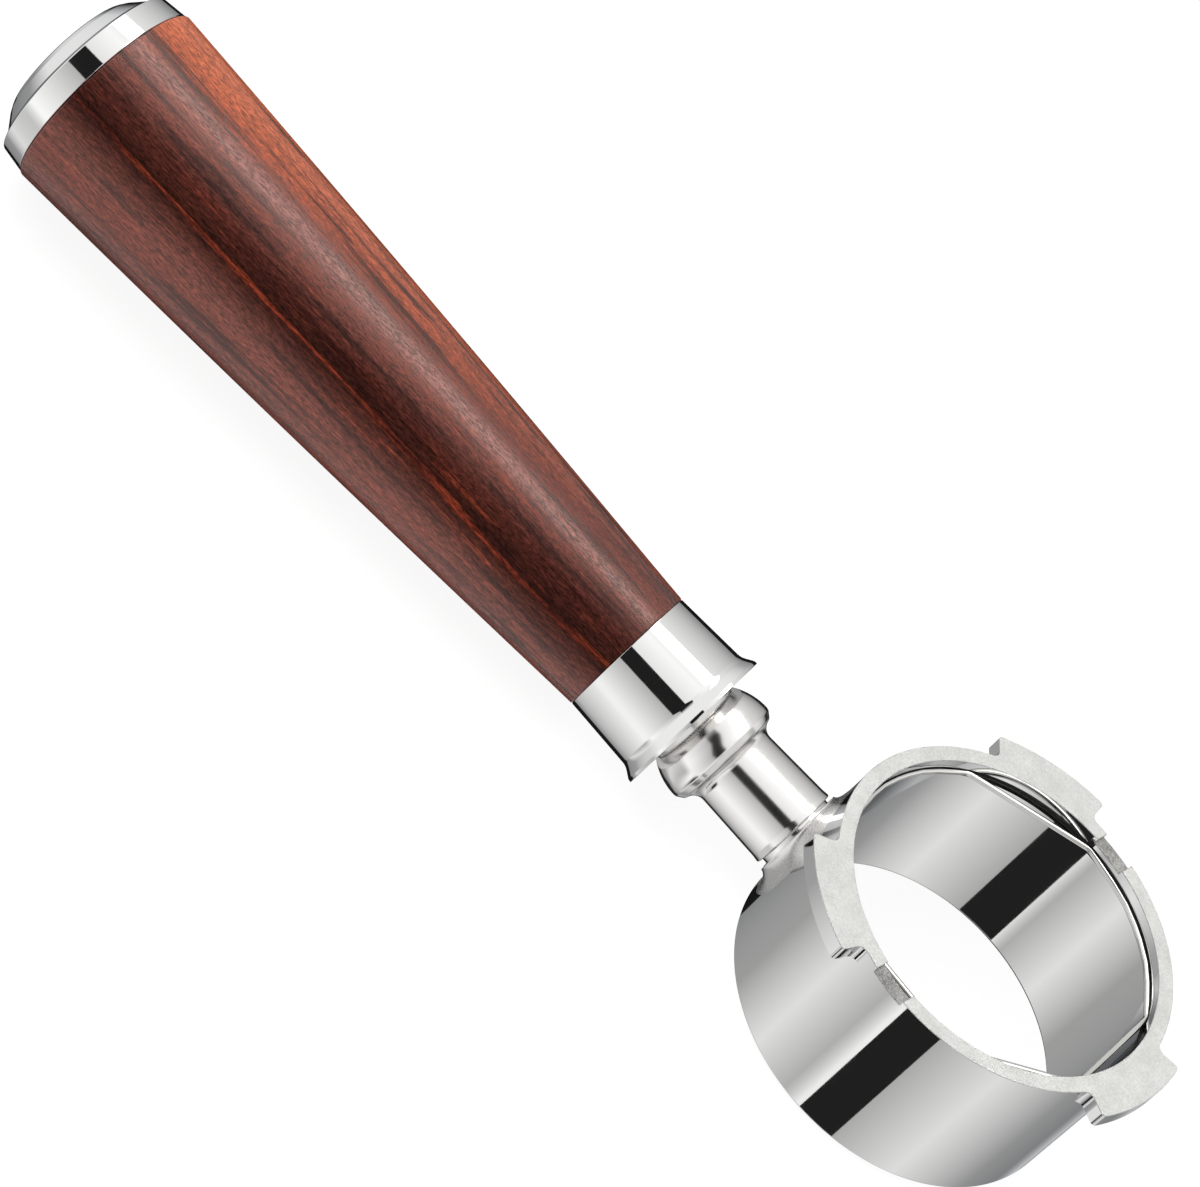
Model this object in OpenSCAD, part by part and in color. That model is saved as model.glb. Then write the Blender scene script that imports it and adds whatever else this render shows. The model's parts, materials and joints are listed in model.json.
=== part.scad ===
// Bottomless portafilter: an open head ring with three bayonet lugs, a welded stem,
// and a turned wooden handle that screws onto the stem.
// The ring stands on z = 0 with its axis on +Z, and the handle points along -X.

/* [Head ring] */
// Outer diameter of the ring's wall
ring_d = 60; // [59.5:0.5:63]
// Diameter of the bore that takes the basket
bore_d = 54.7; // [51:0.1:55]
// Height of the ring
ring_h = 31; // [29:0.5:38]
// Diameter across the tips of the bayonet lugs
lug_span = 68.6; // [66:0.2:72]
// Thickness of each bayonet lug
lug_t = 3; // [2:0.5:5]
// Width of each bayonet lug, as an angle seen from the ring's axis
lug_angle = 34; // [20:1:45]
// Direction of the first lug, counter-clockwise from +X
lug_start = -12.5; // [-20:0.5:5]
// Depth of the two shallow notches across the rim
notch_depth = 1; // [0.4:0.1:1.1]
// Width of each notch
notch_w = 6.2; // [4:0.1:9]
// Direction of the first notch, counter-clockwise from +X
notch_dir = 78; // [75:1:82]

/* [Retaining spring] */
// Diameter of the spring wire
wire_d = 1; // [0.8:0.1:1.2]
// Depth of the groove's middle below the rim
groove_drop = 2.7; // [2.6:0.1:4]

/* [Stem] */
// Height of the handle's axis where it crosses the ring's axis
axis_h = 11; // [9.5:0.1:12]
// Diameter of the stem where it meets the ring
stem_d = 15; // [14:0.2:16]
// Diameter of the rounded boss at the handle end of the stem
boss_d = 19.6; // [18:0.2:20]
// Thread diameter of the stud that holds the handle
stud_d = 10; // [8:1:10]

/* [Handle] */
// Distance from the ring's axis to the ferrule's lip
lip_at = 54.2; // [53:0.2:56]
// Diameter across the ferrule's flared lip
lip_d = 26.7; // [25.5:0.1:28]
// Length of the ferrule
ferrule_l = 15; // [13:0.2:20]
// Diameter of the wood where it meets the ferrule
wood_front_d = 23.2; // [22:0.2:25]
// Diameter of the wood where it meets the end cap
wood_rear_d = 35.4; // [29:0.1:38]
// Length of wood between the ferrule and the end cap
wood_l = 118; // [80:1:130]
// Height of the end cap's straight band
cap_band = 4.5; // [2.5:0.1:6]
// Height of the end cap's raised end above its band
cap_rise = 4; // [3:0.1:5]

/* [Hidden] */
$fn = 96;

chrome = [0.80, 0.81, 0.82];
wood = [0.43, 0.17, 0.12];
brass = [0.78, 0.62, 0.30];
spring_steel = [0.55, 0.56, 0.58];

fit_gap = 0.05;     // radial running clearance of a thread or a spigot
face_gap = 0.1;     // between faces that meet when the handle is tight
cut = 1;            // how far a cutting solid runs past what it cuts

// Head ring
ring_r = ring_d / 2;
bore_r = bore_d / 2;
lug_r = lug_span / 2;
lug_count = 3;
lug_fillet = 1.4;
lug_lap = 0.5;               // how far a lug reaches into the wall
foot_bevel = 0.8;
rim_bevel = 0.2;
groove_z = ring_h - groove_drop;
groove_half = wire_d / 2 + 0.35;
groove_r = bore_r + 0.85;
pad_face = ring_r + 1;       // end of the welded pad, from the ring's axis
pad_face_r = stem_d / 2 + 0.4;
pad_skin = 0.6;              // of the ring's wall that the pad leaves whole round the bore
pad_root = bore_r - pad_skin;
pad_root_r = pad_face_r + 3.6;

// Retaining spring: straight spans between bends that rest in the groove. Short spans follow the groove on
// two sides, and longer ones reach across the bore to hold the basket.
wire_clear = 0.2;            // between the wire and the groove's floor
bend_r = groove_r - wire_d / 2 - wire_clear;
bend_curve = 2;
bend_lap = 0.2;              // how far a span reaches into the bend at its end
span_relief = 0.04;          // how much thinner a span is, so that it stays inside the bend there
bends = concat([-122, -75, -28], [for (b = [18:22:84]) b], [for (b = [134:19:191]) b]);

// Stations along the handle's axis, from the ring's axis
spigot_at = pad_root + 1.4;
spigot_r = stem_d / 2 - 0.9;
shoulder_at = pad_face + 0.9;
boss_end = lip_at + 0.8;
boss_start = boss_end - 8.4;
stud_r = stud_d / 2;
stud_start = boss_end - 14;
blind_end = 1;               // of a blind hole past what it holds
washer_at = boss_end + face_gap;
washer_t = 1.6;
web_at = washer_at + washer_t + face_gap;
web_t = 1.5;
tenon_at = web_at + web_t;
seam_at = lip_at + ferrule_l;
cap_at = seam_at + wood_l;
front_insert_l = 24;
stud_end = tenon_at + front_insert_l - 2.4;
cap_end = cap_at + cap_band;

// The handle rises just enough that the ferrule's lip and the wood's rear end clear the plane
// the ring stands on
foot_clear = 0.1;
function rise_for(r, station) = atan(r / station) - asin((axis_h - foot_clear) / norm([station, r]));
rise = max(rise_for(lip_d / 2, lip_at), rise_for(wood_rear_d / 2, cap_at));

// Handle
cap_edge_r = wood_rear_d / 2 - 0.8;
tenon_r = wood_front_d / 2 - 1.3;
insert_r = stud_r + 2;
wood_bulge = 0.3;            // how far the wood's side bows out from a straight taper
wood_chamfer = 0.25;         // on the wood's edge at the end cap
rear_insert_l = 16;
rear_insert_r = 5;
cap_stud_r = 3;

// Places what is drawn along +Z on the handle's axis
module along_handle() {
    translate([0, 0, axis_h]) rotate([0, rise - 90, 0]) children();
}

// A solid of revolution about the handle's axis, from [radius, station] points
module turned(points) {
    along_handle() rotate_extrude() polygon(points);
}

// A round bar about the handle's axis, or the hole it leaves where it is cut away
module rod(r, from, to) {
    along_handle() translate([0, 0, from]) cylinder(r = r, h = to - from);
}

// Points of a circular arc from angle a0 to a1
function arc(centre, r, a0, a1, steps) =
    [for (i = [0:steps]) centre + r * [cos(a0 + (a1 - a0) * i / steps), sin(a0 + (a1 - a0) * i / steps)]];

function on_circle(r, a) = [r * cos(a), r * sin(a)];

// How far the wire turns at a bend, which is nothing at its two ends
function bend_turn(i) = i == 0 || i == len(bends) - 1 ? 0 : (bends[i + 1] - bends[i - 1]) / 2;

// The straight length that a bend replaces on each side
function bend_take(i) = bend_curve * tan(bend_turn(i) / 2);

module ring_wall() {
    rotate_extrude() polygon([
        [bore_r + rim_bevel, 0],
        [ring_r - foot_bevel, 0],
        [ring_r, foot_bevel],
        [ring_r, ring_h - rim_bevel],
        [ring_r - rim_bevel, ring_h],
        [bore_r + rim_bevel, ring_h],
        [bore_r, ring_h - rim_bevel],
        [bore_r, groove_z + groove_half],
        [groove_r, groove_z + groove_half],
        [groove_r, groove_z - groove_half],
        [bore_r, groove_z - groove_half],
        [bore_r, rim_bevel],
    ]);
}

// The inside corner between a lug's end and the ring's wall, on the side given by +1 or -1
module lug_root(side) {
    turn = asin(lug_fillet / (ring_r + lug_fillet));
    along = sqrt(pow(ring_r + lug_fillet, 2) - pow(lug_fillet, 2));
    half = lug_angle / 2;
    lug_lap_angle = 1;
    centre = on_circle(ring_r + lug_fillet, side * (half + turn));
    difference() {
        polygon([
            on_circle(ring_r - lug_lap, side * (half - lug_lap_angle)),
            on_circle(along, side * half),
            centre,
            on_circle(ring_r - lug_lap, side * (half + turn)),
        ]);
        translate(centre) circle(r = lug_fillet);
    }
}

module lug_outline() {
    half = lug_angle / 2;
    far = 2 * lug_r;
    difference() {
        intersection() {
            circle(r = lug_r);
            polygon([[0, 0], on_circle(far, -half), on_circle(far, half)]);
        }
        circle(r = ring_r - lug_lap);
    }
    lug_root(1);
    lug_root(-1);
}

module lugs() {
    for (i = [0:lug_count - 1])
        rotate([0, 0, lug_start + i * 360 / lug_count])
            translate([0, 0, ring_h - lug_t]) linear_extrude(lug_t) lug_outline();
}

module notch_cuts() {
    for (turn = [0, 180])
        rotate([0, 0, notch_dir + turn])
            translate([bore_r - cut, -notch_w / 2, ring_h - notch_depth])
                cube([ring_r - bore_r + 2 * cut, notch_w, notch_depth + cut]);
}

// The flared pad that the stem is welded to, kept above the ring's foot and out of its bore
module weld_pad() {
    intersection() {
        turned([[0, pad_root], [pad_root_r, pad_root], [pad_face_r, pad_face], [0, pad_face]]);
        cylinder(r = lug_r, h = ring_h - lug_t);
    }
}

module head_ring() {
    color(chrome) difference() {
        union() {
            ring_wall();
            lugs();
            difference() {
                weld_pad();
                cylinder(r = bore_r + pad_skin, h = ring_h);
            }
        }
        notch_cuts();
        rod(spigot_r + fit_gap / 2, spigot_at, pad_face + cut);
    }
}

// One straight span of the wire, between two bends, less the length each bend takes up
module wire_span(i) {
    heading = (bends[i] + bends[i + 1]) / 2 + 90;
    from = on_circle(bend_r, bends[i]) + on_circle(bend_take(i) - bend_lap, heading);
    to = on_circle(bend_r, bends[i + 1]) - on_circle(bend_take(i + 1) - bend_lap, heading);
    translate([from[0], from[1], 0]) rotate([0, 90, heading])
        cylinder(d = wire_d - span_relief, h = norm(to - from));
}

// The curve between two spans
module wire_bend(i) {
    heading = (bends[i - 1] + bends[i]) / 2 + 90;
    start = on_circle(bend_r, bends[i]) - on_circle(bend_take(i), heading);
    centre = start + on_circle(bend_curve, heading + 90);
    translate([centre[0], centre[1], 0]) rotate([0, 0, heading - 90])
        rotate_extrude(angle = bend_turn(i)) translate([bend_curve, 0]) circle(d = wire_d);
}

module retaining_spring() {
    $fn = 32;
    last = len(bends) - 1;
    color(spring_steel) translate([0, 0, groove_z]) {
        for (i = [0:last - 1]) wire_span(i);
        for (i = [1:last - 1]) wire_bend(i);
    }
}

module stem() {
    tube_r = stem_d / 2;
    tube_end_r = tube_r - 0.5;
    root_bevel = 0.2;
    boss_r = boss_d / 2;
    back_round = 1.2;
    neck_round = 1.8;
    barrel_r = 10.7;         // the boss's side bulges, and narrows towards the handle
    barrel_at = boss_start + 1.7;
    barrel_turn = 34;
    seat_r = boss_r - 2.4;   // of the flat end that the washer bears on
    color(chrome) difference() {
        turned(concat(
            [[0, spigot_at], [spigot_r, spigot_at], [spigot_r, shoulder_at]],
            [[tube_r - root_bevel, shoulder_at], [tube_r, shoulder_at + root_bevel]],
            arc([tube_end_r + neck_round, boss_start - neck_round], neck_round, 180, 120, 5),
            arc([boss_r - back_round, boss_start + back_round], back_round, -60, 0, 5),
            arc([boss_r - barrel_r, barrel_at], barrel_r, 0, barrel_turn, 6),
            [[seat_r, boss_end], [0, boss_end]]
        ));
        rod(stud_r + fit_gap / 2, stud_start - blind_end, boss_end + cut);
    }
}

module stem_stud() {
    chamfer = 0.8;
    color(spring_steel) turned([
        [0, stud_start], [stud_r - chamfer, stud_start], [stud_r, stud_start + chamfer],
        [stud_r, stud_end - chamfer], [stud_r - chamfer, stud_end], [0, stud_end],
    ]);
}

// A split spring washer: its two ends part at the slit
module lock_washer() {
    inner = stud_r + 0.3;
    outer = stud_r + 3;
    slit = 0.8;
    color(spring_steel) difference() {
        turned([
            [inner, washer_at], [outer, washer_at],
            [outer, washer_at + washer_t], [inner, washer_at + washer_t],
        ]);
        along_handle() translate([0, -slit / 2, washer_at - cut])
            cube([outer + cut, slit, washer_t + 2 * cut]);
    }
}

module ferrule() {
    lip_r = lip_d / 2;
    lip_edge = 0.5;
    body_r = lip_r - 1.2;
    flare = 2.6;
    flare_at = lip_at + flare + 0.6;
    mouth_r = body_r - 1.1;
    mouth_flare_at = lip_at + flare - 0.8;
    web_bore_r = stud_r + 0.4;
    socket_r = tenon_r + fit_gap / 2;
    color(chrome) turned(concat(
        [[web_bore_r, web_at], [mouth_r, web_at], [mouth_r, mouth_flare_at]],
        [[lip_r - lip_edge, lip_at], [lip_r, lip_at], [lip_r, lip_at + lip_edge]],
        arc([body_r + flare, flare_at], flare, -125, -175, 6),
        [[wood_front_d / 2, seam_at], [socket_r, seam_at]],
        [[socket_r, tenon_at], [web_bore_r, tenon_at]]
    ));
}

module wood_handle() {
    front = [wood_front_d / 2, seam_at];
    rear = [wood_rear_d / 2, cap_at - wood_chamfer];
    run = rear - front;
    side = [run[1], -run[0]] / norm(run);
    steps = 12;
    color(wood) difference() {
        turned(concat(
            [[0, tenon_at], [tenon_r, tenon_at], [tenon_r, seam_at]],
            [for (i = [0:steps]) front + run * i / steps
                + side * wood_bulge * (1 - pow(2 * i / steps - 1, 2))],
            [[wood_rear_d / 2 - wood_chamfer, cap_at], [0, cap_at]]
        ));
        rod(insert_r + fit_gap / 2, tenon_at - cut, tenon_at + front_insert_l + 2 * blind_end);
        rod(rear_insert_r + fit_gap / 2, cap_at - rear_insert_l - blind_end, cap_at + cut);
    }
}

// A threaded bush pressed into the wood
module bush(outer, inner, from, to) {
    chamfer = 0.4;
    color(brass) turned([
        [inner, from], [outer - chamfer, from], [outer, from + chamfer],
        [outer, to - chamfer], [outer - chamfer, to], [inner, to],
    ]);
}

module front_insert() {
    bush(insert_r, stud_r + fit_gap, tenon_at, tenon_at + front_insert_l);
}

module rear_insert() {
    bush(rear_insert_r, cap_stud_r + fit_gap / 2, cap_at - rear_insert_l, cap_at);
}

module cap_stud() {
    color(spring_steel) rod(cap_stud_r, cap_at - rear_insert_l + 2, cap_at + cap_band);
}

module end_cap() {
    hub_r = 5.6;
    recess = 2;
    recess_r = wood_rear_d / 2 - 2;
    seam_r = wood_rear_d / 2 - wood_chamfer;
    edge_bevel = 0.3;
    ledge = 1.3;             // the step between the band and the raised end
    ledge_rise = 0.4;
    top = cap_end + cap_rise;
    flat_r = cap_edge_r - 5.3;
    shoulder = 1.4;          // the rounding between the raised end's side and its flat
    color(chrome) difference() {
        turned([
            [0, cap_at], [hub_r, cap_at], [hub_r, cap_at + recess],
            [recess_r, cap_at + recess], [recess_r, cap_at],
            [seam_r, cap_at], [cap_edge_r, cap_end - edge_bevel], [cap_edge_r - edge_bevel, cap_end],
            [cap_edge_r - ledge, cap_end + ledge_rise],
            [flat_r + shoulder, top - shoulder], [flat_r, top - 0.5], [flat_r - 2.5, top - 0.1],
            [0, top],
        ]);
        rod(cap_stud_r + fit_gap / 2, cap_at - cut, cap_end + 0.4);
    }
}

head_ring();
retaining_spring();
stem();
stem_stud();
lock_washer();
ferrule();
wood_handle();
front_insert();
rear_insert();
cap_stud();
end_cap();
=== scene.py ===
"""Bottomless portafilter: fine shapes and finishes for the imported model, with a plain studio round it."""
import json
import math

import bpy
from mathutils import Matrix, Vector

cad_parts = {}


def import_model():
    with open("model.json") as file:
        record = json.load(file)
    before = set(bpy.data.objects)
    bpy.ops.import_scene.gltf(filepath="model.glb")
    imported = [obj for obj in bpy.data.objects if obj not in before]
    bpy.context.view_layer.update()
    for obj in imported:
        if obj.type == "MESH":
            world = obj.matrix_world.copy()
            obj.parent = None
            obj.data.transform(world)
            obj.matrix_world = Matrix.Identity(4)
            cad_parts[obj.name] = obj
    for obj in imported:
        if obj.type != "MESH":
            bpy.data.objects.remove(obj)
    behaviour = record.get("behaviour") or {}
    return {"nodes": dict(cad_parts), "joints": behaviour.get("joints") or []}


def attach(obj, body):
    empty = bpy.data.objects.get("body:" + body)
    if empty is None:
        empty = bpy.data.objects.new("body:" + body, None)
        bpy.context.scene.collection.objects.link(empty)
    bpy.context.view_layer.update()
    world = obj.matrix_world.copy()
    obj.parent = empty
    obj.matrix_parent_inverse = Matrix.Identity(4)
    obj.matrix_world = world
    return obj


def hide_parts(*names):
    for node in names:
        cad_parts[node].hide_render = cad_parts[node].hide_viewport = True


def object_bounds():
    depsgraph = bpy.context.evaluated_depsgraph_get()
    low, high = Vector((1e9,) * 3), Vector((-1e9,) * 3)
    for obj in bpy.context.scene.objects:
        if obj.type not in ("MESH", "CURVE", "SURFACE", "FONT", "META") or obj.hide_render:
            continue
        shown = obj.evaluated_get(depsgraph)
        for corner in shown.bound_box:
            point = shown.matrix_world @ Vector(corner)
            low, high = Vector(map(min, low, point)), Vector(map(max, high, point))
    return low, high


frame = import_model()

CAD_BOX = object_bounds()
MM = 0.001
SEGMENTS = 256                       # round a turned piece
ARC_STEP = math.radians(12)          # largest turn between two points of a small rounding


# ---------------------------------------------------------------- measures taken from the frame

def joint(name):
    return next(j for j in frame["joints"] if j["name"] == name)


# The handle's own frame: Z along its axis away from the ring, Y level, X up; it starts on the ring's axis
AXIS = Vector(joint("handle_unscrew")["axis"]).normalized()
LEVEL = Vector((0, 1, 0))
ON_AXIS = Vector(joint("handle_unscrew")["pos_m"])
HANDLE = Matrix((LEVEL.cross(AXIS), LEVEL, AXIS)).transposed().to_4x4()
HANDLE.translation = ON_AXIS - AXIS * (ON_AXIS.x / AXIS.x)


def points_of(node, place=Matrix()):
    back = place.inverted()
    return [back @ v.co for v in frame["nodes"][node].data.vertices]


def along(node):
    """First and last station and largest radius of a turned piece, in the handle's frame."""
    points = points_of(node, HANDLE)
    stations = [p.z for p in points]
    return min(stations), max(stations), max(p.xy.length for p in points)


def radius_at(node, station):
    """Largest radius of a turned piece at a station."""
    return max(p.xy.length for p in points_of(node, HANDLE) if abs(p.z - station) < 0.02 * MM)


RING = points_of("head_ring")
RING_H = max(p.z for p in RING)
RING_R = max(p.xy.length for p in RING if p.x > 0 and p.z < RING_H / 2)
BORE_R = min(p.xy.length for p in RING)
LUG_R = max(p.xy.length for p in RING)
LUG_LOW = min(p.z for p in RING if p.x > 0 and p.xy.length > RING_R + MM)
GROOVE = joint("spring_turn")["pos_m"][2]
GROOVE_HALF = 0.85 * MM
GROOVE_R = BORE_R + 0.85 * MM

STEM_AT, BOSS_END, BOSS_R = along("stem")
_, STUD_END, STUD_R = along("stem_stud")
WASHER_AT, WASHER_END, WASHER_R = along("lock_washer")
LIP_AT, SEAM_AT, LIP_R = along("ferrule")
TENON_AT, CAP_AT, WOOD_REAR_R = along("wood_handle")
CAP_TOP = along("end_cap")[1]
CAP_SEAM_R = radius_at("end_cap", CAP_AT)
WOOD_FRONT_R = radius_at("ferrule", SEAM_AT)

# The frame does not give these angles and widths, so they repeat the design's own.
LUG_DIRECTIONS = [math.radians(-12.5 + 120 * i) for i in range(3)]
LUG_HALF = math.radians(17)
NOTCH_DIRECTION = math.radians(78)
NOTCH_HALF_WIDTH = 3.1 * MM
NOTCH_FLOOR = RING_H - 1 * MM


# ---------------------------------------------------------------- outlines

def right_of(direction):
    return Vector((direction.y, -direction.x)).normalized()


def rounded(corners, closed=False):
    """A path through corners (x, y, radius) as (point, normal before, normal after), normals to its right.

    Radius None marks a point of a smooth curve, and 0 a sharp corner.
    """
    count = len(corners)
    points = [Vector(c[:2]) for c in corners]
    path = []
    for i, (point, corner) in enumerate(zip(points, corners)):
        into = (point - points[i - 1]).normalized()
        away = (points[(i + 1) % count] - point).normalized()
        if not closed and i == 0:
            into = away
        if not closed and i == count - 1:
            away = into
        before, after = right_of(into), right_of(away)
        turn = math.atan2(into.cross(away), into.dot(away))
        if corner[2] is None:
            both = (before + after).normalized()
            path.append((point, both, both))
        elif corner[2] == 0 or abs(turn) < 1e-4:
            path.append((point, before, after))
        else:
            side = math.copysign(corner[2], turn)
            start = point - into * abs(side * math.tan(turn / 2))
            centre = start - before * side
            steps = max(2, math.ceil(abs(turn) / ARC_STEP))
            for k in range(steps + 1):
                normal = before.copy()
                normal.rotate(Matrix.Rotation(turn * k / steps, 2))
                path.append((centre + normal * side, normal, normal))
    return path


def polar(radius, angle):
    return Vector((math.cos(angle), math.sin(angle))) * radius


# ---------------------------------------------------------------- meshes

class Surface:
    """Collects vertices and faces, with the exact normal of each face corner."""

    def __init__(self):
        self.points = []
        self.faces = []
        self.normals = []
        self.slots = []

    def add(self, point):
        self.points.append(point)
        return len(self.points) - 1

    def face(self, corners, normals, slot=0):
        self.faces.append(corners)
        self.normals.extend(normals)
        self.slots.append(slot)

    def make(self, name, body, materials, place=Matrix()):
        mesh = bpy.data.meshes.new(name)
        mesh.from_pydata([place @ p for p in self.points], [], self.faces)
        for material in materials:
            mesh.materials.append(material)
        for polygon, slot in zip(mesh.polygons, self.slots):
            polygon.use_smooth = True
            polygon.material_index = slot
        turn = place.to_3x3()
        mesh.normals_split_custom_set([(turn @ n).normalized()[:] for n in self.normals])
        piece = bpy.data.objects.new(name, mesh)
        bpy.context.scene.collection.objects.link(piece)
        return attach(piece, body)


def turn_path(surface, path, slot=0, closed=False, segments=SEGMENTS, angles=None):
    """Turns a path of (radius, station) about Z. Angles, if given, are the start and end of a part turn."""
    start, end = angles or (0, 2 * math.pi)
    columns = segments + 1 if angles else segments
    directions = [polar(1, start + (end - start) * j / segments) for j in range(segments + 1)]
    rows = []
    for (radius, station), _, _ in path:
        if radius < 1e-9:
            rows.append([surface.add(Vector((0, 0, station)))] * columns)
        else:
            rows.append([surface.add((d * radius).to_3d() + Vector((0, 0, station)))
                         for d in directions[:columns]])
    last = len(path) if closed else len(path) - 1
    for i in range(last):
        k = (i + 1) % len(path)
        leaving, arriving = path[i][2], path[k][1]
        for j in range(segments):
            n = (j + 1) % columns
            corners = [rows[i][j], rows[i][n], rows[k][n], rows[k][j]]
            normals = [(directions[m] * v.x).to_3d() + Vector((0, 0, v.y))
                       for m, v in ((j, leaving), (j + 1, leaving), (j + 1, arriving), (j, arriving))]
            if corners[0] == corners[1]:
                corners, normals = corners[1:], normals[1:]
            elif corners[2] == corners[3]:
                corners, normals = corners[:3], normals[:3]
            surface.face(corners, normals, slot)
    return rows


def turned(name, body, corners, material, closed=False, place=HANDLE):
    """A turned piece on the handle's axis from (radius, station, rounding) corners."""
    surface = Surface()
    turn_path(surface, rounded(corners, closed), closed=closed)
    return surface.make(name, body, [material], place)


def rounded_edge(height, radius):
    """Rows of a rounded upper edge: (inset from the wall, height, share of the flat's normal)."""
    steps = 4
    return [(radius * (1 - math.cos(a)), height - radius * (1 - math.sin(a)), math.sin(a))
            for a in (math.pi / 2 * k / steps for k in range(steps + 1))]


def slab(surface, outline, top, low, edge, top_slot, wall_slot, edge_slot):
    """A flat-topped slab with a rounded upper edge, whose wall runs down to low(point)."""
    up = Vector((0, 0, 1))
    miters = [(before + after) / (1 + before.dot(after)) for _, before, after in outline]
    rows = [[surface.add(p.to_3d() + Vector((0, 0, low(p)))) for p, _, _ in outline]]
    profile = rounded_edge(top, edge)
    for inset, height, _ in profile:
        rows.append([surface.add((p - m * inset).to_3d() + Vector((0, 0, height)))
                     for (p, _, _), m in zip(outline, miters)])
    tilts = [0] + [share for _, _, share in profile]
    for r in range(len(rows) - 1):
        slot = wall_slot if r == 0 else edge_slot
        for i in range(len(outline)):
            k = (i + 1) % len(outline)
            leaving, arriving = outline[i][2], outline[k][1]
            normals = [flat.to_3d() * math.sqrt(1 - tilts[row] ** 2) + up * tilts[row]
                       for flat, row in ((leaving, r), (arriving, r), (arriving, r + 1), (leaving, r + 1))]
            surface.face([rows[r][i], rows[r][k], rows[r + 1][k], rows[r + 1][i]], normals, slot)
    surface.face(rows[-1], [up] * len(outline), top_slot)


# ---------------------------------------------------------------- materials

class Nodes:
    """Builds the node tree of a material or of the world."""

    def __init__(self, owner, shader="Principled BSDF"):
        owner.use_nodes = True
        self.owner = owner
        self.tree = owner.node_tree
        self.shader = self.tree.nodes[shader]

    def node(self, kind, settings=None, **inputs):
        made = self.tree.nodes.new("ShaderNode" + kind)
        for key, value in (settings or {}).items():
            setattr(made, key, value)
        for key, value in inputs.items():
            self.link(value, made.inputs[key.replace("_", " ")])
        return made

    def link(self, value, socket):
        if isinstance(value, bpy.types.NodeSocket):
            self.tree.links.new(value, socket)
        else:
            socket.default_value = value

    def set(self, **inputs):
        for key, value in inputs.items():
            self.link(value, self.shader.inputs[key.replace("_", " ")])

    def math(self, operation, a, b=0.0):
        made = self.node("Math", {"operation": operation})
        self.link(a, made.inputs[0])
        self.link(b, made.inputs[1])
        return made.outputs[0]

    def place(self, scale=(1, 1, 1), turn=0.0):
        """Coordinates in millimetres in the handle's frame, turned about its axis and stretched."""
        back = HANDLE.inverted()
        where = self.node("TexCoord").outputs["Object"]
        aligned = self.node("Mapping", Vector=where, Location=back.translation, Rotation=back.to_euler())
        size = tuple(s / MM for s in scale)
        stretched = self.node("Mapping", Vector=aligned.outputs[0], Rotation=(0, 0, turn), Scale=size)
        return stretched.outputs[0]

    def noise(self, where, scale, detail=2.0, roughness=0.5):
        made = self.node("TexNoise", Vector=where, Scale=scale, Detail=detail, Roughness=roughness)
        return made.outputs[0]

    def spread(self, value, low, high, to_low=0.0, to_high=1.0):
        made = self.node("MapRange")
        for socket, number in zip(made.inputs, (value, low, high, to_low, to_high)):
            self.link(number, socket)
        return made.outputs[0]

    def ramp(self, value, *stops):
        """A colour ramp from (position, colour) stops."""
        made = self.node("ValToRGB", Fac=value)
        elements = made.color_ramp.elements
        while len(elements) < len(stops):
            elements.new(0.5)
        for element, (position, colour) in zip(elements, stops):
            element.position = position
            element.color = (*colour, 1)
        return made.outputs[0]

    def mix(self, factor, a, b, blend="MIX"):
        made = self.node("Mix", {"data_type": "RGBA", "blend_type": blend})
        for key, value in ((0, factor), (6, a), (7, b)):
            self.link((*value, 1) if isinstance(value, tuple) else value, made.inputs[key])
        return made.outputs[2]

    def bump(self, height, distance, strength=1.0):
        """Relief whose full height is distance, in millimetres."""
        made = self.node("Bump", Height=height, Strength=strength, Distance=distance * MM)
        self.set(Normal=made.outputs[0])


def polished(name, tint, smudge=0.03, finish=0.02):
    """Mirror-polished metal with the faint haze and hairlines that handling leaves."""
    n = Nodes(bpy.data.materials.new(name))
    haze = n.noise(n.place(), 0.12, 3)
    hairline = n.noise(n.place((1, 1, 0.06)), 9, 2)
    n.set(Metallic=1.0, Base_Color=(*tint, 1), Specular_Tint=(0.55, 0.56, 0.58, 1))
    n.set(Roughness=n.math("ADD", n.spread(haze, 0.35, 0.75, finish, finish + smudge),
                           n.spread(hairline, 0.68, 0.8, 0, 0.03)))
    n.bump(hairline, 0.0006)
    return n.owner


def machined(name, pale, dark, grain, relief, roughness):
    """Metal left matt by the cutter or the blast, with a fine sandy grain."""
    n = Nodes(bpy.data.materials.new(name))
    sand = n.noise(n.place(), grain, 4, 0.7)
    patches = n.noise(n.place(), grain / 9, 2)
    shade = n.spread(n.math("ADD", sand, n.math("MULTIPLY", patches, 0.35)), 0.45, 0.85)
    n.set(Metallic=1.0, Base_Color=n.mix(shade, dark, pale))
    n.set(Roughness=n.spread(sand, 0.3, 0.7, roughness, roughness + 0.15))
    n.bump(sand, relief)
    return n.owner


CHROME = polished("polished_chrome", (0.86, 0.86, 0.85))
WARM_CHROME = polished("polished_steel", (0.87, 0.855, 0.84), 0.05, 0.13)
WIRE_STEEL = polished("spring_wire", (0.80, 0.79, 0.76), 0.10)
RIM = machined("machined_rim", (0.70, 0.70, 0.68), (0.50, 0.50, 0.48), 2.6, 0.014, 0.60)
NOTCH = machined("rough_notch", (0.50, 0.49, 0.47), (0.10, 0.10, 0.10), 3.2, 0.05, 0.5)
# The groove's very dark colour is painted shade that darkens the recess above the spring wire; its dull,
# rougher turned finish is real.
GROOVE_PAINTED_SHADE = machined("turned_groove_painted_shade", (0.16, 0.16, 0.15), (0.05, 0.05, 0.05), 5.0, 0.01, 0.45)
WELD = machined("dressed_weld", (0.84, 0.83, 0.82), (0.70, 0.69, 0.68), 3.0, 0.0006, 0.18)
THREAD_STEEL = machined("thread_steel", (0.62, 0.62, 0.61), (0.40, 0.40, 0.40), 5.0, 0.006, 0.28)
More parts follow.
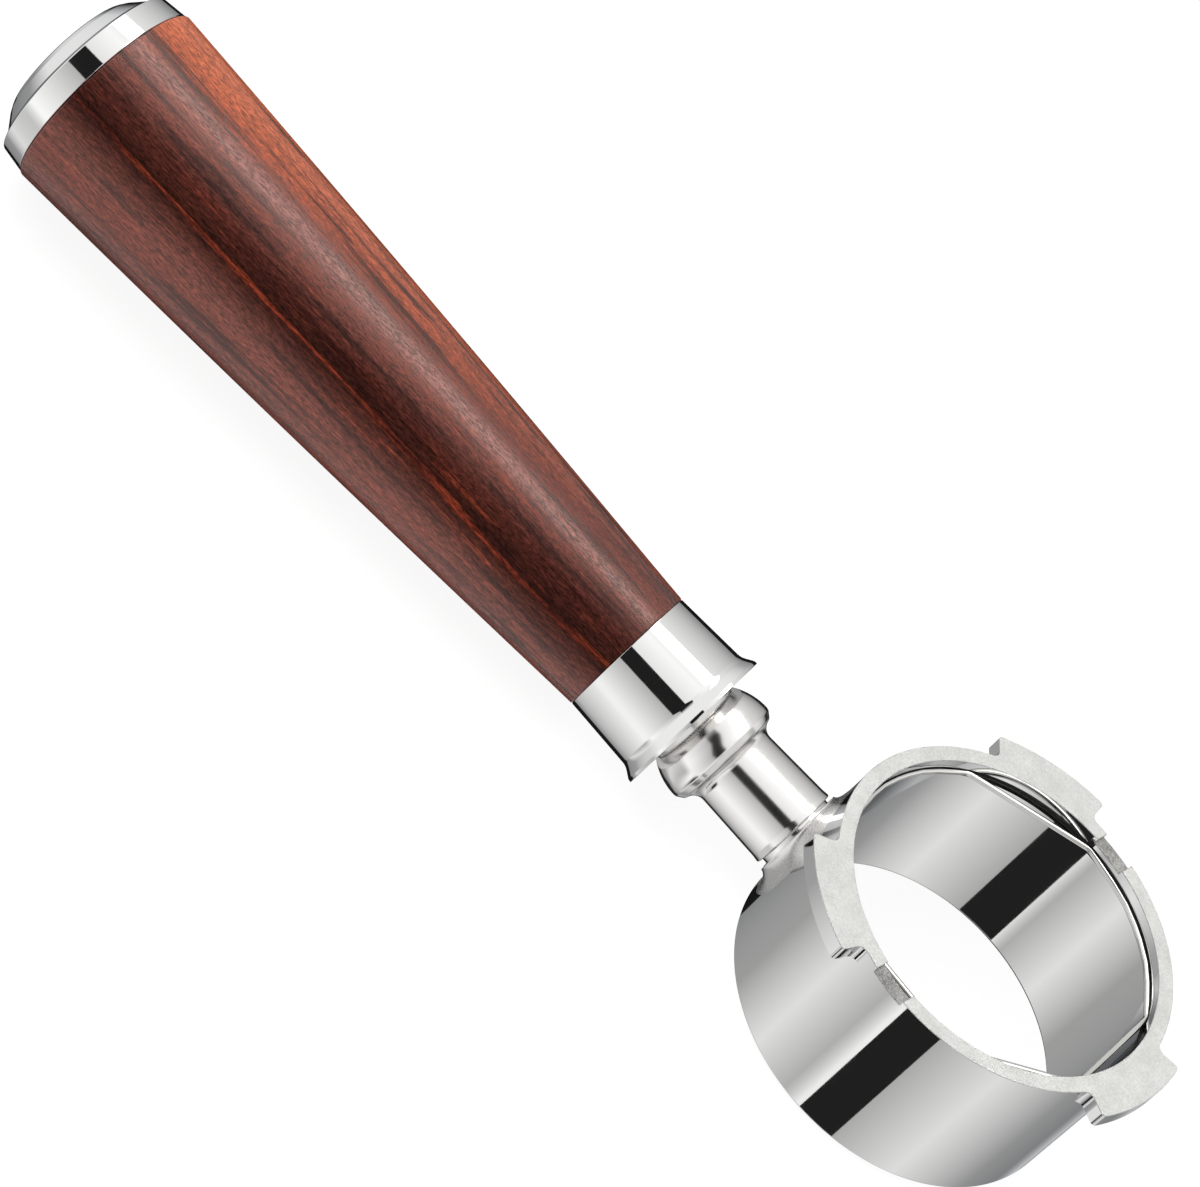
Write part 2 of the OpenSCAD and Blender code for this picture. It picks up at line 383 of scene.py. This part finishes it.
WASHER_STEEL = machined("washer_steel", (0.45, 0.44, 0.43), (0.25, 0.25, 0.25), 4.0, 0.008, 0.32)
BRASS = machined("turned_brass", (0.86, 0.66, 0.32), (0.62, 0.45, 0.20), 4.0, 0.008, 0.28)


def rosewood():
    """Red-brown hardwood with growth bands, dark and fiery streaks, broken grain and a satin oil finish."""
    n = Nodes(bpy.data.materials.new("rosewood"))
    tilt = math.radians(-42)
    drift = n.noise(n.place((1, 1, 0.03)), 0.055, 3)
    tremor = n.noise(n.place((1, 1, 0.05)), 0.8, 3)
    growth = n.node("SeparateXYZ", Vector=n.place(turn=tilt)).outputs[0]
    wavy = n.math("ADD", growth, n.spread(drift, 0, 1, -5, 5))
    wavy = n.math("ADD", wavy, n.spread(tremor, 0, 1, -0.9, 0.9))
    # Across the growth bands: a dark heart with one red line in it, and a paler, fiery edge.
    bands = n.ramp(n.spread(wavy, -18, 18),
                   (0.00, (0.125, 0.028, 0.018)),
                   (0.22, (0.145, 0.034, 0.022)),
                   (0.32, (0.090, 0.022, 0.015)),
                   (0.42, (0.036, 0.008, 0.005)),
                   (0.435, (0.170, 0.026, 0.012)),
                   (0.45, (0.020, 0.005, 0.003)),
                   (0.56, (0.060, 0.015, 0.011)),
                   (0.68, (0.120, 0.032, 0.022)),
                   (0.77, (0.100, 0.022, 0.014)),
                   (0.85, (0.280, 0.058, 0.024)),
                   (1.00, (0.520, 0.120, 0.042)))
    streak = n.noise(n.place((1, 1, 0.012)), 0.55, 4, 0.6)
    streaked = n.mix(n.spread(streak, 0.50, 0.62, 0, 0.85), bands, (0.020, 0.005, 0.004))
    flame = n.noise(n.place((1, 1, 0.015)), 0.9, 3, 0.6)
    warmed = n.mix(n.spread(flame, 0.60, 0.74, 0, 0.6), streaked, (0.24, 0.040, 0.016))
    vessels = n.noise(n.place((1, 1, 0.22)), 3.6, 3, 0.75)
    fibre = n.noise(n.place((1, 1, 0.03)), 5.0, 3, 0.65)
    pores = n.spread(vessels, 0.50, 0.66)
    coarse = n.spread(vessels, 0.34, 0.64, 1.75, 0.40)
    fine = n.spread(fibre, 0.35, 0.65, 0.72, 1.30)
    grain = n.math("MULTIPLY", coarse, fine)
    colour = n.mix(1.0, warmed, grain, "MULTIPLY")
    n.set(Base_Color=colour, Roughness=n.spread(vessels, 0.3, 0.7, 0.19, 0.28))
    # The dark heart has little shine.
    past_heart = n.spread(n.math("ABSOLUTE", n.math("ADD", wavy, 0.5)), 2, 8)
    shine = n.spread(past_heart, 0, 1, 0.06, 0.72)
    n.set(Specular_IOR_Level=shine, Specular_Tint=(1.0, 0.76, 0.70, 1))
    n.bump(n.math("SUBTRACT", fibre, pores), 0.012)
    return n.owner


WOOD = rosewood()


# ---------------------------------------------------------------- head ring

RING_MATERIALS = [CHROME, RIM, NOTCH, GROOVE_PAINTED_SHADE, WELD]
ON_WALL, ON_RIM, ON_NOTCH, IN_GROOVE, ON_WELD = range(len(RING_MATERIALS))


def lug_outline(direction):
    """The lug's outline with its root fillets and softened tips, counter-clockwise from wall to wall."""
    root, tip = 1.4 * MM, 0.7 * MM
    root_steps, tip_steps, end_steps = 8, 6, 16
    root_turn = math.asin(root / (RING_R + root))
    tip_turn = math.asin(tip / (LUG_R - tip))
    half = []
    centre = polar(RING_R + root, LUG_HALF + root_turn)
    for k in range(root_steps + 1):
        a = LUG_HALF + root_turn + math.pi + (math.pi / 2 - root_turn) * k / root_steps
        half.append((centre + polar(root, a), -polar(1, a)))
    centre = polar(LUG_R - tip, LUG_HALF - tip_turn)
    for k in range(tip_steps + 1):
        a = LUG_HALF + math.pi / 2 - (math.pi / 2 + tip_turn) * k / tip_steps
        half.append((centre + polar(tip, a), polar(1, a)))
    for k in range(1, end_steps + 1):
        a = (LUG_HALF - tip_turn) * (1 - k / end_steps)
        half.append((polar(LUG_R, a), polar(1, a)))
    mirrored = [(Vector((p.x, -p.y)), Vector((v.x, -v.y))) for p, v in half[:-1]]
    turn = Matrix.Rotation(direction, 2)
    return [(turn @ p, turn @ v, turn @ v) for p, v in mirrored + half[::-1]]


def angle_past(point, start):
    return (math.atan2(point.y, point.x) - start) % (2 * math.pi)


def notch_corner(radius, notch, side):
    """Direction in which one side of a notch, -1 or 1, crosses a circle."""
    across = math.asin(NOTCH_HALF_WIDTH / radius)
    return notch + side * across


def wall_points(start, end, radius, inward=False):
    """Points of a circle between two directions, with outward or inward normals."""
    steps = max(2, round(abs(end - start) / math.radians(1)))
    side = -1 if inward else 1
    angles = [start + (end - start) * k / steps for k in range(steps + 1)]
    return [(polar(radius, a), side * polar(1, a), side * polar(1, a)) for a in angles]


def joined(*runs):
    """Runs of points joined into one closed outline by straight lines, each line with its own normal."""
    outline = []
    for i, run in enumerate(runs):
        arriving = right_of(run[0][0] - runs[i - 1][-1][0])
        leaving = right_of(runs[(i + 1) % len(runs)][0][0] - run[-1][0])
        outline += [(run[0][0], arriving, run[0][2]), *run[1:-1], (run[-1][0], run[-1][1], leaving)]
    return outline


def sector(start_notch, end_notch):
    """The rim between two notches, with its lugs, as a closed outline, counter-clockwise."""
    first = notch_corner(RING_R, start_notch, 1)
    span = (notch_corner(RING_R, end_notch, -1) - first) % (2 * math.pi)
    lugs = [lug_outline(d) for d in LUG_DIRECTIONS]
    lugs = [o for o in lugs if angle_past(o[0][0], first) < span]
    lugs.sort(key=lambda o: angle_past(o[0][0], first))
    outside = []
    here = first
    for outline in lugs:
        stop = first + angle_past(outline[0][0], first)
        outside += wall_points(here, stop, RING_R)[:-1] + outline
        here = first + angle_past(outline[-1][0], first)
    outside += wall_points(here, first + span, RING_R)[1:]
    inner_first = notch_corner(BORE_R, start_notch, 1)
    inner_span = (notch_corner(BORE_R, end_notch, -1) - inner_first) % (2 * math.pi)
    inside = wall_points(inner_first + inner_span, inner_first, BORE_R, inward=True)
    return joined(outside, inside)


def notch_floor(notch):
    """The floor of a notch, reaching a little under the rim at both sides."""
    reach, inner_reach = (math.asin((NOTCH_HALF_WIDTH + 0.3 * MM) / r) for r in (RING_R, BORE_R))
    return joined(
        wall_points(notch - reach, notch + reach, RING_R),
        wall_points(notch + inner_reach, notch - inner_reach, BORE_R, inward=True),
    )


def ring_wall(surface):
    """The turned wall below the lugs, with its bevelled foot and the spring's groove."""
    foot = 0.8 * MM
    turn_path(surface, rounded([
        (BORE_R, GROOVE + GROOVE_HALF, 0),
        (GROOVE_R, GROOVE + GROOVE_HALF, 0.1 * MM),
        (GROOVE_R, GROOVE - GROOVE_HALF, 0.2 * MM),
        (BORE_R, GROOVE - GROOVE_HALF, 0),
    ]), slot=IN_GROOVE, segments=2 * SEGMENTS)
    turn_path(surface, rounded([
        (BORE_R, GROOVE - GROOVE_HALF, 0),
        (BORE_R, 0.5 * MM, 0.2 * MM),
        (BORE_R + 0.3 * MM, 0, 0.15 * MM),
        (RING_R - foot, 0, 0.3 * MM),
        (RING_R, foot, 0.35 * MM),
        (RING_R, LUG_LOW, 0),
    ]), segments=2 * SEGMENTS)


def lug_undersides(surface):
    """The flat lower faces of the lugs, and the rim's floor within them."""
    for direction in LUG_DIRECTIONS:
        outline = [p for p, _, _ in lug_outline(direction)]
        first, last = (angle_past(outline[k], 0) for k in (0, -1))
        span = (last - first) % (2 * math.pi)
        steps = 20
        inner = [polar(RING_R - 0.3 * MM, first + span * k / steps) for k in range(steps + 1)]
        ring = [surface.add(p.to_3d() + Vector((0, 0, LUG_LOW))) for p in inner + outline[::-1]]
        surface.face(ring, [Vector((0, 0, -1))] * len(ring), ON_WALL)


def weld_pad(surface):
    """The flared pad under the stem, which sweeps out of the stem's line into the ring's wall."""
    face_r = 7.9 * MM
    face_at = RING_R + 1 * MM
    axis_height = HANDLE.translation.z
    turns, steps = 128, 20
    spread_up, spread_side = 8.5 * MM, 3.6 * MM
    spread_down = axis_height - face_r - 0.9 * MM
    at_wall = 1.5                        # rise in radians past which the pad lies against the wall

    def reach(a):
        up = math.cos(a)
        grown = spread_up if up > 0 else spread_down
        return math.hypot(grown * up, spread_side * math.sin(a))

    def point(a, b):
        radius = face_r + reach(a) * (1 - math.cos(b))
        y = radius * math.sin(a)
        z = axis_height + radius * math.cos(a) + AXIS.z * face_at
        wall = math.sqrt(RING_R ** 2 - y ** 2)
        root = math.sqrt(RING_R ** 2 - (face_r * math.sin(a)) ** 2)
        x = wall + (face_at - root) * (1 - math.sin(b))
        return Vector((-x, y, z))

    def normal(a, b):
        if b > at_wall:
            p = point(a, b)
            return Vector((p.x, p.y, 0))
        step = 1e-3
        across = point(a + step, b) - point(a - step, b)
        down = point(a, min(b + step, math.pi / 2)) - point(a, max(b - step, 0))
        return down.cross(across)

    angles = [2 * math.pi * i / turns for i in range(turns)]
    rises = [math.pi / 2 * k / steps for k in range(steps + 1)]
    grid = [[surface.add(point(a, b)) for a in angles] for b in rises]
    normals = [[normal(a, b).normalized() for a in angles] for b in rises]
    for k in range(steps):
        for i in range(turns):
            n = (i + 1) % turns
            corners = ((k, i), (k + 1, i), (k + 1, n), (k, n))
            surface.face([grid[r][c] for r, c in corners], [normals[r][c] for r, c in corners], ON_WELD)
    hub_r = 6.4 * MM
    inner = [surface.add(HANDLE @ Vector((hub_r * math.cos(a), hub_r * math.sin(a), face_at)))
             for a in angles]
    for i in range(turns):
        n = (i + 1) % turns
        surface.face([inner[i], grid[0][i], grid[0][n], inner[n]], [AXIS] * 4, ON_WELD)


def head_ring():
    surface = Surface()
    edge = 0.18 * MM
    notches = [NOTCH_DIRECTION, NOTCH_DIRECTION + math.pi]
    middle = (RING_R + BORE_R) / 2

    def wall_foot(point):
        return GROOVE + GROOVE_HALF if point.length < middle else LUG_LOW

    ring_wall(surface)
    for start, end in (notches, notches[::-1]):
        slab(surface, sector(start, end), RING_H, wall_foot, edge, ON_RIM, ON_WALL, ON_RIM)
    for notch in notches:
        slab(surface, notch_floor(notch), NOTCH_FLOOR, wall_foot, edge / 2, ON_NOTCH, ON_WALL, ON_NOTCH)
    lug_undersides(surface)
    weld_pad(surface)
    piece = surface.make("ring_body", "head", RING_MATERIALS)
    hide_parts("head_ring")


# ---------------------------------------------------------------- retaining spring

def retaining_spring():
    """The bent wire as a round tube along its spans, with a smooth curve at each bend."""
    wire_r = 0.5 * MM
    bend_r = GROOVE_R - wire_r - 0.2 * MM
    bends = [-122, -75, -28, *range(18, 85, 22), *range(134, 192, 19)]
    tight, wide = 2 * MM, 20 * MM
    groove_step = 45                     # degrees: bends closer than this follow the groove in a wide curve
    corners = []
    for before, here, after in zip([None, *bends], bends, [*bends[1:], None]):
        follows_groove = None not in (before, after) and after - before < groove_step
        corners.append((*polar(bend_r, math.radians(here)), wide if follows_groove else tight))
    path = [p for p, _, _ in rounded(corners)]
    curve = bpy.data.curves.new("spring_wire", "CURVE")
    curve.dimensions = "3D"
    curve.bevel_depth = wire_r
    curve.bevel_resolution = 6
    curve.use_fill_caps = True
    line = curve.splines.new("POLY")
    line.points.add(len(path) - 1)
    for target, p in zip(line.points, path):
        target.co = (p.x, p.y, GROOVE, 1)
    line.use_smooth = True
    curve.materials.append(WIRE_STEEL)
    piece = bpy.data.objects.new("spring_wire", curve)
    bpy.context.scene.collection.objects.link(piece)
    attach(piece, "spring")
    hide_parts("retaining_spring")


# ---------------------------------------------------------------- stem, stud and washer

def stem():
    """The stem: a short spigot and shoulder at the weld, a slim tube and a barrel-shaped boss."""
    spigot_r, tube_r, root_r = 6.6 * MM, 7.0 * MM, 7.5 * MM
    shoulder = RING_R + 1.9 * MM
    boss_start = BOSS_END - 8.4 * MM
    barrel_r = 10.7 * MM
    barrel_at = boss_start + 1.7 * MM
    barrel_turn = math.radians(34)
    steps = 12
    middle = Vector((BOSS_R - barrel_r, barrel_at))
    barrel = [(*(middle + polar(barrel_r, barrel_turn * k / steps)), None) for k in range(1, steps)]
    front = middle + polar(barrel_r, barrel_turn)
    piece = turned("stem_body", "head", [
        (spigot_r, STEM_AT, 0),
        (spigot_r, shoulder, 0.15 * MM),
        (root_r, shoulder, 0.25 * MM),
        (root_r - 0.15 * MM, shoulder + 1.2 * MM, 3 * MM),
        (tube_r, boss_start - 0.5 * MM, 2 * MM),
        (BOSS_R - 0.9 * MM, boss_start + 0.1 * MM, 0.8 * MM),
        (BOSS_R - 0.1 * MM, boss_start + 1.2 * MM, 0.8 * MM),
        (BOSS_R, barrel_at, None),
        *barrel,
        (*front, 0.3 * MM),
        (BOSS_R - 2.4 * MM, BOSS_END, 0.3 * MM),
        (STUD_R + 0.4 * MM, BOSS_END, 0.2 * MM),
        (STUD_R + 0.05 * MM, BOSS_END - 0.4 * MM, 0),
    ], WARM_CHROME)
    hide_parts("stem")


def stud():
    """The threaded stud, with a rolled V thread along the part outside the stem."""
    pitch = 1.5 * MM
    depth = 0.9 * MM
    crest_share, flank_share = 0.12, 0.76    # of half a turn of the thread
    least_fade = 0.15                        # what is left of the thread at the stud's end
    sides, per_turn = 64, 12
    rows = round((STUD_END - BOSS_END) / pitch * per_turn)
    surface = Surface()
    grid = []
    for i in range(rows + 1):
        station = BOSS_END - MM + i * pitch / per_turn
        fade = min(1, max(0, (STUD_END - MM - station) / MM) + least_fade)
        row = []
        for j in range(sides):
            turn = j / sides
            wave = abs(((station / pitch - turn) % 1) * 2 - 1)
            sunk = min(max((wave - crest_share) / flank_share, 0), 1)
            radius = STUD_R - depth * sunk * fade - (1 - fade) * depth
            row.append(surface.add(polar(radius, 2 * math.pi * turn).to_3d() + Vector((0, 0, station))))
        grid.append(row)

    def normal(i, j):
        low, high = grid[max(i - 1, 0)][j], grid[min(i + 1, rows)][j]
        left, right = grid[i][j - 1], grid[i][(j + 1) % sides]
        p = surface.points
        return (p[right] - p[left]).cross(p[high] - p[low])

    normals = [[normal(i, j).normalized() for j in range(sides)] for i in range(rows + 1)]
    for i in range(rows):
        for j in range(sides):
            n = (j + 1) % sides
            corners = ((i, j), (i, n), (i + 1, n), (i + 1, j))
            surface.face([grid[r][c] for r, c in corners], [normals[r][c] for r, c in corners])
    surface.face(grid[-1], [Vector((0, 0, 1))] * sides)
    piece = surface.make("stud_thread", "head", [THREAD_STEEL], HANDLE)
    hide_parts("stem_stud")


def lock_washer():
    """A split spring washer with softened edges and cut ends."""
    inner = STUD_R + 0.3 * MM
    slit = math.asin(0.4 * MM / inner)
    soft = 0.25 * MM
    path = rounded([
        (inner, WASHER_AT, soft),
        (WASHER_R, WASHER_AT, soft),
        (WASHER_R, WASHER_END, soft),
        (inner, WASHER_END, soft),
    ], closed=True)
    surface = Surface()
    rows = turn_path(surface, path, closed=True, segments=96,
                     angles=(math.pi / 2 + slit, 2.5 * math.pi - slit))
    surface.face([row[0] for row in rows], [Vector((1, 0, 0))] * len(rows))
    surface.face([row[-1] for row in rows][::-1], [Vector((-1, 0, 0))] * len(rows))
    piece = surface.make("washer_body", "washer", [WASHER_STEEL], HANDLE)
    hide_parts("lock_washer")


# ---------------------------------------------------------------- handle

def ferrule():
    web_at = BOSS_END + 1.8 * MM
    body_r = LIP_R - 1.2 * MM
    mouth_r = body_r - 1.1 * MM
    tenon_r = WOOD_FRONT_R - 1.25 * MM
    hole_r = STUD_R + 0.4 * MM
    piece = turned("ferrule_body", "handle", [
        (hole_r, web_at, 0.2 * MM),
        (mouth_r, web_at, 0.4 * MM),
        (mouth_r, LIP_AT + 2 * MM, 0.4 * MM),
        (LIP_R - 0.45 * MM, LIP_AT, 0.05 * MM),
        (LIP_R, LIP_AT, 0.12 * MM),
        (LIP_R - 0.1 * MM, LIP_AT + 0.6 * MM, 0.1 * MM),
        (body_r, LIP_AT + 2.4 * MM, 2.5 * MM),
        (WOOD_FRONT_R, SEAM_AT, 0.12 * MM),
        (tenon_r, SEAM_AT, 0),
        (tenon_r, TENON_AT, 0),
        (hole_r, TENON_AT, 0.1 * MM),
    ], CHROME, closed=True)
    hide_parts("ferrule")


def wood_handle():
    """The turned wood, with a slow swell along its side and softened ends."""
    bulge = 0.3 * MM
    steps = 24
    soft = 0.25 * MM
    front = Vector((WOOD_FRONT_R, SEAM_AT))
    rear = Vector((WOOD_REAR_R, CAP_AT - soft))
    side = right_of(rear - front)
    flank = []
    for i in range(1, steps):
        share = i / steps
        swell = bulge * (1 - (2 * share - 1) ** 2)
        flank.append((*(front.lerp(rear, share) + side * swell), None))
    piece = turned("wood_body", "handle", [
        (STUD_R + 2 * MM, TENON_AT, 0),
        (WOOD_FRONT_R - 1.3 * MM, TENON_AT, 0.2 * MM),
        (WOOD_FRONT_R - 1.3 * MM, SEAM_AT, 0),
        (WOOD_FRONT_R - 0.15 * MM, SEAM_AT + 0.02 * MM, 0.05 * MM),
        (WOOD_FRONT_R + 0.05 * MM, SEAM_AT + 0.25 * MM, 0.2 * MM),
        *flank,
        (*rear, 0.4 * MM),
        (WOOD_REAR_R - 0.45 * MM, CAP_AT, 0.1 * MM),
        (0, CAP_AT, 0),
    ], WOOD)
    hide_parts("wood_handle")


def end_cap():
    rise = 4 * MM
    cap_end = CAP_TOP - rise
    edge_r = WOOD_REAR_R - 0.8 * MM
    flat_r = edge_r - 5.3 * MM
    piece = turned("cap_body", "handle", [
        (0, CAP_AT + 0.05 * MM, 0),
        (CAP_SEAM_R - 0.12 * MM, CAP_AT + 0.05 * MM, 0.05 * MM),
        (CAP_SEAM_R, CAP_AT + 0.2 * MM, 0.1 * MM),
        (edge_r, cap_end - 0.15 * MM, 0.25 * MM),
        (edge_r - 1.3 * MM, cap_end + 0.4 * MM, 0.8 * MM),
        (flat_r + 1.4 * MM, CAP_TOP - 1.4 * MM, 1.6 * MM),
        (flat_r, CAP_TOP - 0.5 * MM, 2.5 * MM),
        (flat_r - 2.5 * MM, CAP_TOP - 0.1 * MM, 4 * MM),
        (0, CAP_TOP, 0),
    ], CHROME)
    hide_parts("end_cap")


def hidden_fittings():
    """The brass inserts and the cap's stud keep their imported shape."""
    for node, material in (("front_insert", BRASS), ("rear_insert", BRASS), ("cap_stud", THREAD_STEEL)):
        mesh = frame["nodes"][node].data
        mesh.materials.clear()
        mesh.materials.append(material)


# ---------------------------------------------------------------- studio

VIEW_AZIMUTH = math.radians(4.82)
VIEW_ELEVATION = math.radians(42.12)
VIEW_ROLL = math.radians(41.65)
VIEW_DISTANCE = 0.6714
LENS = 131.1
AIM_SHIFT = Vector((2.4, 0.2, 0)) * MM       # from the middle of the object
AIM_HEIGHT = 17 * MM
TO_CAMERA = Vector((
    math.sin(VIEW_AZIMUTH) * math.cos(VIEW_ELEVATION),
    -math.cos(VIEW_AZIMUTH) * math.cos(VIEW_ELEVATION),
    math.sin(VIEW_ELEVATION),
))


def camera():
    """Looks down on the object with the handle running to the upper left of the picture."""
    low, high = CAD_BOX
    aim = (low + high) / 2 + AIM_SHIFT
    aim.z = AIM_HEIGHT
    level = Vector((0, 0, 1)).cross(TO_CAMERA).normalized()
    right = Matrix.Rotation(VIEW_ROLL, 3, TO_CAMERA) @ level
    up = TO_CAMERA.cross(right)
    data = bpy.data.cameras.new("camera")
    data.lens = LENS
    data.clip_start = 0.01
    made = bpy.data.objects.new("camera", data)
    bpy.context.scene.collection.objects.link(made)
    made.matrix_world = Matrix((right, up, TO_CAMERA)).transposed().to_4x4()
    made.location = aim + TO_CAMERA * VIEW_DISTANCE
    bpy.context.scene.camera = made


def sheet(name, points, faces, material):
    """A flat studio surface, which is no part of the object."""
    mesh = bpy.data.meshes.new(name)
    mesh.from_pydata(points, [], faces)
    mesh.materials.append(material)
    made = bpy.data.objects.new(name, mesh)
    bpy.context.scene.collection.objects.link(made)
    return made


def floor():
    """A pale floor lit from within like a light table, so that shadows on it stay faint."""
    reach, sides = 2.5, 96
    height = -0.2 * MM                   # just under the ring's foot
    n = Nodes(bpy.data.materials.new("pale_floor"))
    n.set(Roughness=0.9, Specular_IOR_Level=0.0)
    n.set(Emission_Color=(1, 1, 1, 1), Emission_Strength=0.90)
    n.set(Base_Color=n.mix(n.noise(n.place(), 0.004, 2), (0.11, 0.11, 0.11), (0.13, 0.13, 0.13)))
    rim = [(*polar(reach, 2 * math.pi * k / sides), height) for k in range(sides)]
    made = sheet("floor", rim, [list(range(sides))], n.owner)
    made.visible_glossy = False


def lamp(name, width, place, target, power):
    """A square soft lamp aimed at a point, which shiny surfaces do not see."""
    data = bpy.data.lights.new(name, "AREA")
    data.shape = "RECTANGLE"
    data.size = data.size_y = width
    data.energy = power
    made = bpy.data.objects.new(name, data)
    bpy.context.scene.collection.objects.link(made)
    made.location = place
    made.rotation_mode = "QUATERNION"
    made.rotation_quaternion = (Vector(place) - Vector(target)).to_track_quat("Z", "Y")
    made.visible_glossy = False


DIM = 0.4             # between the soft boxes
BLACK = 0.015
KEY_STRIP = 5.0
END_LIGHT = 0.95      # straight along the handle

# What shiny surfaces see: soft boxes as (middle, half width, brightness in the middle), and over them
# strips of even light as (start, end, brightness), with their directions in degrees.
# Round the handle's axis, these are degrees above the lens.
HANDLE_BOXES = [(-75, 70, 1.1), (40, 100, 1.1)]
HANDLE_STRIPS = [(-15, 10, BLACK), (50, 70, KEY_STRIP), (-181, -145, BLACK), (145, 181, BLACK)]
HANDLE_SKEW = -12     # added to directions that point towards the cap
# Round the ring, they are degrees counter-clockwise from +X as seen from above.
RING_BOXES = [(-140, 40, 0.85), (-25, 50, 0.85), (65, 15, 0.9)]
RING_STRIPS = [(-94, -71, BLACK), (80, 130, BLACK)]


def world():
    """Even white light, in which shiny surfaces see soft boxes, a bright key strip and black strips."""
    made = bpy.data.worlds.new("studio")
    bpy.context.scene.world = made
    n = Nodes(made, "Background")
    direction = n.node("TexCoord").outputs["Generated"]

    def dot(axis):
        made = n.node("VectorMath", {"operation": "DOT_PRODUCT"})
        n.link(direction, made.inputs[0])
        n.link(axis, made.inputs[1])
        return made.outputs["Value"]

    def tent(angle, boxes):
        """Soft boxes in a row, each falling evenly to DIM. The second of two that overlap is cut short."""
        stops = []
        reached = -180
        for middle, half, light in boxes:
            start = max(middle - half, reached)
            at_start = light - (light - DIM) * (middle - start) / half
            reached = middle + half
            stops += [(start, at_start), (middle, light), (reached, DIM)]
        turn = n.spread(angle, -math.pi, math.pi)
        return n.ramp(turn, *((degrees / 360 + 0.5, (light,) * 3) for degrees, light in stops))

    def lights(angle, boxes, strips):
        """The soft boxes round an axis, with the strips over them."""
        edge = math.radians(0.5)
        seen = tent(angle, boxes)
        for first, last, light in strips:
            start, end = math.radians(first), math.radians(last)
            rise = n.spread(angle, start - edge, start + edge)
            fall = n.spread(angle, end - edge, end + edge, 1, 0)
            seen = n.mix(n.math("MULTIPLY", rise, fall), seen, (light,) * 3)
        return seen

    toward = (TO_CAMERA - AXIS * TO_CAMERA.dot(AXIS)).normalized()
    lengthwise = dot(Vector((1, 0, 0)))
    endwise = n.math("ABSOLUTE", lengthwise)
    skew = n.spread(lengthwise, -0.30, -0.05, math.radians(HANDLE_SKEW), 0)
    round_handle = n.math("ADD", n.math("ARCTAN2", dot(AXIS.cross(toward)), dot(toward)), skew)
    round_ring = n.math("ARCTAN2", dot(Vector((0, 1, 0))), lengthwise)
    downward = n.spread(dot(Vector((0, 0, 1))), -0.35, -0.55)
    handle = lights(round_handle, HANDLE_BOXES, HANDLE_STRIPS)
    ring = lights(round_ring, RING_BOXES, RING_STRIPS)
    # The ring's own lights are in the directions that point down and lean along the handle, either way.
    ring_share = n.math("MULTIPLY", n.spread(endwise, 0.08, 0.22), downward)
    seen = n.mix(n.spread(endwise, 0.42, 0.72), handle, (END_LIGHT,) * 3)
    seen = n.mix(ring_share, seen, ring)
    glossy = n.node("Background", Strength=1.0, Color=seen)
    made.cycles.sampling_method = "NONE"
    n.set(Color=(1, 1, 1, 1), Strength=1.0)
    chosen = n.node("MixShader", Fac=n.node("LightPath").outputs["Is Glossy Ray"])
    n.link(n.shader.outputs[0], chosen.inputs[1])
    n.link(glossy.outputs[0], chosen.inputs[2])
    n.link(chosen.outputs[0], n.tree.nodes["World Output"].inputs["Surface"])


def flag(name, y, left, right, low, high):
    """An upright black card across Y, in millimetres.

    Only shiny surfaces see it, and they look through the floor at it.
    """
    n = Nodes(bpy.data.materials.new(name))
    n.set(Base_Color=(0.016, 0.016, 0.016, 1), Specular_IOR_Level=0.0)
    corners = [(left, y, low), (right, y, low), (right, y, high), (left, y, high)]
    made = sheet(name, [Vector(c) * MM for c in corners], [[0, 1, 2, 3]], n.owner)
    made.visible_camera = False
    made.visible_diffuse = False
    made.visible_shadow = False


camera()
world()
floor()
flag("outer_flag", y=-130, left=-9, right=45, low=-130, high=-45)
flag("inner_flag", y=-27, left=-5, right=16, low=-62, high=-15)
lamp("key", width=0.5, place=(-0.6, -0.2, 0.8), target=(0, 0, 0), power=4)
head_ring()
retaining_spring()
stem()
stud()
lock_washer()
ferrule()
wood_handle()
end_cap()
hidden_fittings()
bpy.context.scene.view_settings.view_transform = "Standard"
